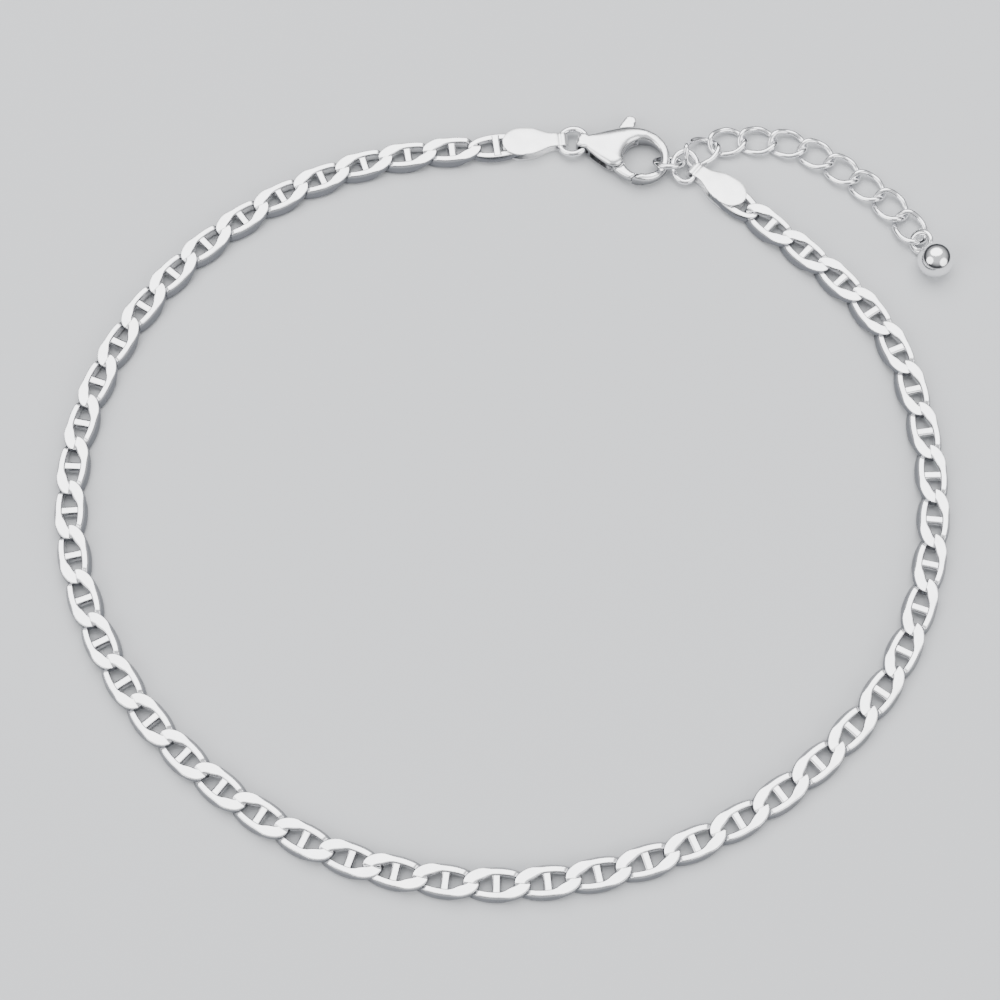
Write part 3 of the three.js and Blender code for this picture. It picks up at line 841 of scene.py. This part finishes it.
# End caps: a spoon-shaped strip folded over its ring
def end_cap(reach):
    round_end = CAP_WIDTH / 2
    fold = CAP_LENGTH - round_end
    neck_start = fold * NECK_START
    half_neck = CAP_NECK / 2
    shoulder = bezier(
        on_circle(SHOULDER_FROM, round_end), (round_end * SHOULDER_OUT, round_end),
        (neck_start * SHOULDER_IN, half_neck), (neck_start, half_neck))

    def half_width(x):
        if x < 0:
            return round_end * sqrt(max(0.0, 1 - (x / (round_end + CAP_EXTRA)) ** 2))
        if x < shoulder[0][0]:
            return sqrt(max(0.0, round_end ** 2 - x ** 2))
        return float(np.interp(x, [p[0] for p in shoulder], [p[1] for p in shoulder]))

    middle = (CHAIN_THICK - CAP_SHEET) / 2
    bend = fold + CAP_FOLD_EXTRA - CHAIN_THICK / 2
    crease = bend - CREASE_BEFORE_FOLD
    round_end_angles = np.linspace(3, 90, ROUND_END_ROWS)
    plate = [-(round_end + CAP_EXTRA) * cos(radians(a)) for a in round_end_angles]
    plate += list(np.linspace(0, bend, PLATE_ROWS)[1:])
    rows = [(x, -middle) for x in plate]
    for angle in np.linspace(-90, 90, FOLD_ROWS)[1:-1]:
        rows.append((bend + middle * cos(radians(angle)), middle * sin(radians(angle))))
    rows += [(x, middle) for x in reversed(plate)]
    vertices = []
    for x, z in rows:
        for side in np.linspace(-1, 1, CAP_COLUMNS):
            width = half_width(x)
            dip = CREASE_DEPTH * np.exp(-((x - crease) / CREASE_SPREAD) ** 2)
            dip = dip + NECK_DIP * clamp((x - NECK_DIP_FROM) / NECK_DIP_OVER)
            dip = dip * clamp((bend + middle - x) / middle) if z > 0 else 0.0
            roll = EDGE_ROLL * side ** 4 * min(1, width)
            height = z - dip - roll if z > 0 else z + roll
            vertices.append((x, side * width, height))
    faces = []
    for i in range(len(rows) - 1):
        for j in range(CAP_COLUMNS - 1):
            a = i * CAP_COLUMNS + j
            faces.append((a, a + CAP_COLUMNS, a + CAP_COLUMNS + 1, a + 1))
    strip = new_object("strip", mesh_of("strip", vertices, faces))
    wall = strip.modifiers.new("wall", "SOLIDIFY")
    wall.thickness = CAP_SHEET
    wall.offset = 0
    bevel = strip.modifiers.new("edge", "BEVEL")
    bevel.width = EDGE_ROUND
    bevel.segments = 3
    bevel.limit_method = "ANGLE"
    bevel.angle_limit = radians(50)
    mesh = evaluated_mesh(strip)
    drop(strip)
    pin_outline = arc(reach - CAP_PIN / 2 - 5 * CLEARANCE, 0, CAP_PIN / 2, 0, 345, 0.08)
    rivet = prism("rivet", pin_outline, -middle, middle)
    return joined("end_cap", [mesh, rivet])


for side, at, turn, reach in (
        ("left", CAP_LEFT_AT, CAP_LEFT_TURN, CAP_LEFT_REACH),
        ("right", CAP_RIGHT_AT, CAP_RIGHT_TURN, CAP_RIGHT_REACH)):
    cap = moved(end_cap(reach), placed(*at, CHAIN_THICK / 2, turn))
    settle(
        "folded_cap_" + side, cap, ["end_cap_" + side], cap_silver, "anklet",
        CAP_SHARP)


# Jump rings: a bent wire whose two ends meet at a fine gap
def jump_ring(name, length, width, wire, gap_at, steps=72, sides=16):
    rows = []
    painted_shade = []
    gap = RING_GAP / (length - wire)
    for step in range(steps + 1):
        angle = gap_at + gap + (2 * pi - 2 * gap) * step / steps
        normal = Vector((cos(angle) * (length - wire), sin(angle) * (width - wire))).normalized()
        row = []
        for around in round_angles(sides):
            out = cos(around) * wire / 2
            row.append((
                (width - wire) / 2 * cos(angle) + normal.x * out,
                (length - wire) / 2 * sin(angle) + normal.y * out,
                sin(around) * wire / 2))
            # Painted shade on the lower half of the wire
            painted_shade.append(clamp(-sin(around)) * RING_SHADE)
        rows.append(row)
    return tube(name, rows, closed=False, painted_shade=painted_shade)


ring_height = clasp_ring_middle.z / MM
ring_lift = (RING_ROUND_WIRE - RING_WIRE) / 2
ring_climb = -asin((CLASP_MIDDLE - CHAIN_THICK / 2) / (RING_ACROSS - RING_WIRE))
clasp_ring = jump_ring("ring", RING_ACROSS, RING_ACROSS, RING_ROUND_WIRE, CLASP_RING_GAP_AT)
clasp_ring_place = placed(*RING_AT, ring_height + ring_lift, climb=ring_climb)
settle(
    "jump_ring_clasp", moved(clasp_ring, clasp_ring_place),
    ["ring_clasp"], wire_silver, "anklet", WIRE_SHARP)

slim_lift = (SLIM_ROUND_WIRE - SLIM_WIRE) / 2
middle_at = (box_middle("ring_middle") - SHIFT) / MM
middle_ring = jump_ring(
    "ring", MIDDLE_RING_ACROSS, MIDDLE_RING_ACROSS, SLIM_ROUND_WIRE, MIDDLE_RING_GAP_AT)
middle_place = placed(*middle_at.xy, middle_at.z + slim_lift, lean=-MIDDLE_RING_TILT)
settle(
    "jump_ring_middle", moved(middle_ring, middle_place),
    ["ring_middle"], wire_silver, "anklet", WIRE_SHARP)

oval_at = (box_middle("ring_extender") - SHIFT) / MM
oval_ring = jump_ring(
    "ring", OVAL_RING_LENGTH, OVAL_RING_WIDTH, SLIM_ROUND_WIRE, OVAL_RING_GAP_AT)
oval_place = placed(*oval_at.xy, oval_at.z + slim_lift, lean=OVAL_RING_TILT)
settle(
    "jump_ring_extender", moved(oval_ring, oval_place),
    ["ring_extender"], wire_silver, "anklet", WIRE_SHARP)


# Lobster clasp
hook_outer = HOOK_INNER + HOOK_WIRE
spine_outer = HOOK_INNER + SPINE_WIDTH
neck_end = hook_outer - CLASP_LENGTH
slot_front = -HOOK_INNER / 2
seam_middle = on_circle(269, HOOK_INNER + HOOK_WIRE / 2)
seam_way = on_circle(SEAM_ANGLE, 1)


def seam_point(along, aside):
    return (
        seam_middle[0] + along * seam_way[0] - aside * seam_way[1],
        seam_middle[1] + along * seam_way[1] + aside * seam_way[0])


# The gate's end at the seam, a little longer than the hook's wire is wide
gate_tip_outside = seam_point(-HOOK_WIRE * 0.6, CLEARANCE)
gate_tip_inside = seam_point(HOOK_WIRE * 0.62, CLEARANCE)


def seam_cross(radius, aside):
    # The angle, in degrees, at which the seam moved aside crosses a circle round the hole
    x, y = seam_point(0, aside)
    along = x * seam_way[0] + y * seam_way[1]
    step = -along - sqrt(along ** 2 - (x ** 2 + y ** 2 - radius ** 2))
    return atan2(y + step * seam_way[1], x + step * seam_way[0]) * 180 / pi


def body_outline():
    half = NECK_WIDTH / 2
    half_end = half * 0.7
    corner = half * 0.3
    near_flank = (neck_end * 0.64, PIVOT[1] * 1.76)
    lobe_start = on_circle(260, LOBE_RADIUS, *PIVOT)
    hook_side = on_circle(20, hook_outer)
    far_corner = on_circle(49, spine_outer * 1.09)
    back = on_circle(80, spine_outer)
    back_flank = (neck_end * 0.34, spine_outer * 1.14)
    neck_flank = (neck_end * 0.53, spine_outer * 0.68)
    outline = [(neck_end, half_end), (neck_end, -half_end), (neck_end + corner, -half)]
    outline += bezier((neck_end + NECK_LENGTH, -half), near_flank, lobe_start)
    outline += arc(*PIVOT, LOBE_RADIUS, 260, 358)
    outline += arc(0, 0, HOOK_INNER, 209.7, seam_cross(HOOK_INNER, -CLEARANCE / 2))
    outline += arc(0, 0, hook_outer, seam_cross(hook_outer, -CLEARANCE / 2), 20)
    outline += bezier(hook_side, far_corner, back)
    outline += bezier(back, back_flank, neck_flank, (neck_end + NECK_LENGTH, half))
    outline += [(neck_end + corner, half)]
    return outline


# Along the clasp, from its neck to its hook: half the height of its middle and of its rim, and the
# width of its round edge
BODY_PLACES = [-6.4, -5.4, -4.3, -3.3, -2.2, -1.2, -0.4, 0.5, 1.3, 2.6]
BODY_HEIGHTS = [0.66, 0.72, 0.85, 0.94, 0.95, 0.94, 0.86, 0.64, 0.47, 0.4]
BODY_RIMS = [0.5, 0.52, 0.52, 0.52, 0.52, 0.5, 0.4, 0.22, 0.1, 0.08]
BODY_EDGES = [0.2, 0.28, 0.7, 1.05, 1.15, 0.95, 0.55, 0.38, 0.35, 0.35]
HOOK_TIP_SWELL = 0.1


def hook_swell(x, y):
    # The hook is a little stouter on its free near side
    return HOOK_TIP_SWELL * np.clip((-y - 0.7) / 0.8, 0, 1) * np.clip(x + 0.6, 0, 1)


def clasp_body():
    body = pillow(
        "body", body_outline(),
        lambda x, y: np.interp(x, BODY_PLACES, BODY_HEIGHTS) + hook_swell(x, y),
        lambda x, y: np.interp(x, BODY_PLACES, BODY_RIMS) + hook_swell(x, y),
        lambda x, y: np.interp(x, BODY_PLACES, BODY_EDGES))
    slot_back = slot_front - SLOT_LENGTH
    slot_outline = [
        (slot_back, -SLOT_REACH), (slot_front, -SLOT_REACH),
        (slot_front, SLOT_REACH), (slot_back, SLOT_REACH)]
    slot = prism("slot", slot_outline, -SLOT_THICK / 2, SLOT_THICK / 2)
    body = boolean(body, slot, "DIFFERENCE")
    eye_outline = [
        (EYE_ROOM / 2 * cos(a), EYE_HIGH / 2 * sin(a)) for a in np.linspace(0, 2 * pi, 32, False)]
    eye = prism("eye", eye_outline, -EYE_REACH, EYE_REACH)
    eye.transform(placed(neck_end + EYE_WALL + EYE_ROOM / 2, 0, 0, lean=pi / 2))
    body = boolean(body, eye, "DIFFERENCE")
    post_outline = arc(*PIVOT, PIVOT_PIN / 2, 0, 350, 0.06)
    post = prism("post", post_outline, -SLOT_THICK / 2, SLOT_THICK / 2)
    return joined("clasp_body", [body, post])


gate_bulge = (PIVOT[0] * 0.4, -hook_outer)


def gate_root(radius):
    # Where the gate's outer side starts, on the round part of the lever
    return (PIVOT[0] + radius * 0.45, PIVOT[1] - radius * 1.13)


def lever_outline():
    tab_round = TAB_WIDTH / 2
    tab_x = PIVOT[0] * 0.85
    tab_y = spine_outer + TAB_LENGTH - tab_round - TAB_SUNK
    outline = bezier(gate_tip_outside, gate_bulge, gate_root(LOBE_RADIUS))
    outline += arc(*PIVOT, HUB_RADIUS, -80, -200)
    outline += [(tab_x - tab_round * 1.7, spine_outer * 0.8)]
    outline += arc(tab_x, tab_y, tab_round, 160, -5)
    outline += [(tab_x + tab_round * 1.08, spine_outer * 0.95)]
    outline += arc(0, 0, HOOK_INNER + CLEARANCE, 127, 267)
    outline += [gate_tip_inside]
    return list(reversed(outline))


def gate_outline():
    root = LOBE_RADIUS + CLEARANCE
    outline = [gate_tip_inside]
    outline += arc(0, 0, HOOK_INNER + CLEARANCE / 2, 267, 217)
    outline += arc(*PIVOT, root, -15, -66)
    outline += bezier(gate_root(root), gate_bulge, gate_tip_outside)
    return outline


def clasp_lever():
    def even(value):
        return lambda x, y: np.full_like(x, value)

    arm = pillow(
        "arm", lever_outline(), even(LEVER_THICK / 2), even(LEVER_THICK / 4), even(ARM_EDGE),
        LEVER_SPACING)
    gate = pillow(
        "gate", gate_outline(), even(GATE_THICK / 2), even(GATE_THICK / 5), even(GATE_EDGE),
        LEVER_SPACING)
    both = boolean(arm, gate, "UNION")
    bore_outline = arc(*PIVOT, PIVOT_PIN / 2 + CLEARANCE, 0, 350, 0.06)
    bore = prism("bore", bore_outline, -BORE_REACH, BORE_REACH)
    return boolean(both, bore, "DIFFERENCE")


def shade_walls(mesh, share):
    # Painted shade on upright and downward faces, darker than the tops
    layer = mesh.attributes.get("painted_shade") or mesh.attributes.new("painted_shade", "FLOAT", "POINT")
    values = [share * clamp((WALL_SLOPE - v.normal.z) / WALL_SLOPE) for v in mesh.vertices]
    layer.data.foreach_set("value", values)
    return mesh


clasp_place = placed(*CLASP_AT, CLASP_MIDDLE, CLASP_TURN)
settle(
    "lobster_body", shade_walls(moved(clasp_body(), clasp_place), BODY_SHADE), ["clasp_body"],
    clasp_silver, "anklet", CLASP_SHARP)
settle(
    "lobster_lever", shade_walls(moved(clasp_lever(), clasp_place), LEVER_SHADE), ["clasp_lever"],
    clasp_silver, "lever", CLASP_SHARP)


# Extender links: round ovals of wire with a curb twist
def extender_link(back_twist, sides=12):
    rows = []
    painted_shade = []
    half_length = (EXTENDER_LENGTH - EXTENDER_WIRE) / 2
    half_width = (EXTENDER_WIDTH - EXTENDER_WIRE) / 2
    for even_angle in round_angles(EXTENDER_STEPS):
        angle = near_tips(even_angle)
        twist = lerp(back_twist, 1, (1 + cos(angle)) / 2)
        rise = -EXTENDER_RISE * twist * sin(2 * angle) * abs(cos(angle)) / PEAK_CROSSING
        normal = Vector((cos(angle) * half_width, sin(angle) * half_length)).normalized()
        row = []
        for around in round_angles(sides):
            out = cos(around) * EXTENDER_ROUND_WIRE / 2
            row.append((
                half_length * cos(angle) + normal.x * out,
                half_width * sin(angle) + normal.y * out,
                sin(around) * EXTENDER_WIRE / 2 + rise))
            # Painted shade on the lower half of the wire
            painted_shade.append(clamp(-sin(around)) * EXTENDER_SHADE)
        rows.append(row)
    return tube("extender_link", rows, painted_shade=painted_shade)


hang_angle = radians(56)
hang_inside = SLIM_WIRE / 2 + EXTENDER_WIRE / 2 + 3 * CLEARANCE
hang_across = (OVAL_RING_WIDTH - SLIM_WIRE) / 2
hang_along = (OVAL_RING_LENGTH - SLIM_WIRE) / 2
hang_at = (
    OVAL_RING_AT[0] + (hang_across - hang_inside) * cos(hang_angle),
    OVAL_RING_AT[1] + (hang_along - hang_inside) * sin(hang_angle) * cos(OVAL_RING_TILT))
extender_at, _ = route([hang_at] + EXTENDER_ROUTE)
hang_reach = (EXTENDER_LENGTH - EXTENDER_WIRE) / 2
link_heights = EXTENDER_RISE + EXTENDER_WIRE / 2


def link_distance(index):
    return hang_reach + index * EXTENDER_PITCH - (2 * CLEARANCE if index else 0)


extender_places = []
for index in range(1, EXTENDER_COUNT):
    x, y, turn = extender_at(link_distance(index))
    extender_places.append((x, y, link_heights, turn))
laid_links = laid(extender_link(1.0), extender_places, wire_silver)
hang_height = oval_at.z + hang_along * sin(hang_angle) * sin(OVAL_RING_TILT)
x, y, turn = extender_at(link_distance(0))
first_place = placed(
    x, y, (link_heights + hang_height) / 2, turn,
    climb=atan2(hang_height - link_heights, EXTENDER_LENGTH))
first_link = moved(extender_link(FIRST_LINK_TWIST), first_place)
settle(
    "extender_links", joined("extender_links", [first_link, laid_links]),
    ["extender_link_0" + str(i + 1) for i in range(EXTENDER_COUNT)],
    wire_silver, "anklet")


# The ball and its soldered bail
def ball_on_bail():
    ball_radius = BALL_ACROSS / 2
    bail_radius = (BAIL_ACROSS - BAIL_WIRE) / 2
    bail_height = bail_radius * sin(BAIL_LEAN) + BAIL_WIRE / 2
    ball_drop = ball_radius - bail_height
    ball_reach = bail_radius + BAIL_WIRE / 2 + ball_radius - BAIL_SUNK
    ball_x = sqrt(ball_reach ** 2 - ball_drop ** 2)
    rows = []
    for polar in np.linspace(1, 179, BALL_ROWS):
        ring = []
        for around in round_angles(BALL_SIDES):
            ring.append((
                ball_x + ball_radius * sin(radians(polar)) * cos(around),
                ball_radius * sin(radians(polar)) * sin(around),
                ball_drop - ball_radius * cos(radians(polar))))
        rows.append(ring)
    ball = tube("ball", [list(reversed(row)) for row in rows], closed=False)
    rows = []
    for angle in round_angles(BAIL_STEPS):
        ring = []
        for around in round_angles(BAIL_SIDES):
            radius = bail_radius + cos(around) * BAIL_ROUND_WIRE / 2
            ring.append((radius * cos(angle), radius * sin(angle), sin(around) * BAIL_WIRE / 2))
        rows.append(ring)
    bail_lift = (BAIL_ROUND_WIRE - BAIL_WIRE) / 2 * sin(BAIL_LEAN)
    bail = moved(tube("bail", rows), placed(0, 0, bail_lift, lean=BAIL_LEAN))

    # The solder's fillet: a short waisted neck between the bail's wire and the ball
    way = Vector((ball_x, 0, ball_drop)).normalized()
    turn = way.to_track_quat("Z", "Y").to_matrix().to_4x4()
    rows = []
    for share in np.linspace(0, 1, FILLET_ROWS):
        along = lerp(bail_radius - FILLET_SUNK, bail_radius + FILLET_LENGTH, share)
        radius = FILLET_RADIUS + FILLET_SPREAD * share ** 2
        rows.append([
            (radius * cos(a), radius * sin(a), along)
            for a in np.linspace(0, 2 * pi, FILLET_SIDES, False)])
    fillet = moved(tube("fillet", [list(reversed(row)) for row in rows], closed=False), turn)
    return joined("ball", [ball, bail, fillet]), bail_radius, bail_height


ball_mesh, bail_radius, bail_height = ball_on_bail()
last_reach = EXTENDER_LENGTH / 2 - EXTENDER_WIRE - BAIL_WIRE / 2 - 5 * CLEARANCE
x, y, turn = extender_at(link_distance(EXTENDER_COUNT - 1) + last_reach + bail_radius)
settle(
    "polished_ball", moved(ball_mesh, placed(x, y, bail_height, turn)), ["end_ball"],
    ball_silver, "anklet")


# Floor and light
def pale_floor():
    half = FLOOR_HALF
    corners = [(-half, -half, 0), (half, -half, 0), (half, half, 0), (-half, half, 0)]
    mesh = mesh_of("floor", corners, [(0, 1, 2, 3)])
    material = bpy.data.materials.new("pale_floor")
    material.use_nodes = True
    shader = material.node_tree.nodes["Principled BSDF"]
    shader.inputs["Base Color"].default_value = FLOOR_COLOUR
    shader.inputs["Roughness"].default_value = 0.9
    mesh.materials.append(material)
    floor = new_object("floor", mesh)
    floor.location.z = -FLOOR_DROP


def softbox(name, azimuth, elevation, distance, size_x, size_y, watts):
    light = bpy.data.lights.new(name, "AREA")
    light.shape = "ELLIPSE"
    light.size = size_x
    light.size_y = size_y
    light.energy = watts
    lamp = bpy.data.objects.new(name, light)
    bpy.context.scene.collection.objects.link(lamp)
    way = Vector((
        cos(radians(elevation)) * cos(radians(azimuth)),
        cos(radians(elevation)) * sin(radians(azimuth)), sin(radians(elevation))))
    lamp.location = way * distance
    lamp.rotation_euler = way.to_track_quat("Z", "Y").to_euler()


def studio_world():
    # A soft room: pale above, darker towards the horizon
    world = bpy.data.worlds.new("studio")
    bpy.context.scene.world = world
    world.use_nodes = True
    nodes = world.node_tree.nodes
    links = world.node_tree.links
    place = nodes.new("ShaderNodeTexCoord")
    split = nodes.new("ShaderNodeSeparateXYZ")
    ramp = nodes.new("ShaderNodeValToRGB")
    for stop, (position, colour) in zip(ramp.color_ramp.elements, (HORIZON, OVERHEAD)):
        stop.position = position
        stop.color = colour
    links.new(place.outputs["Generated"], split.inputs["Vector"])
    links.new(split.outputs["Z"], ramp.inputs["Fac"])
    links.new(ramp.outputs["Color"], nodes["Background"].inputs["Color"])
    nodes["Background"].inputs["Strength"].default_value = ROOM_STRENGTH


pale_floor()
studio_world()
softbox(
    "softbox_top", azimuth=95, elevation=66, distance=0.5, size_x=0.66, size_y=0.52, watts=3.8)
softbox(
    "softbox_left", azimuth=208, elevation=34, distance=0.6, size_x=0.5, size_y=0.5, watts=2.2)
softbox(
    "softbox_right", azimuth=322, elevation=30, distance=0.6, size_x=0.5, size_y=0.5, watts=2.0)
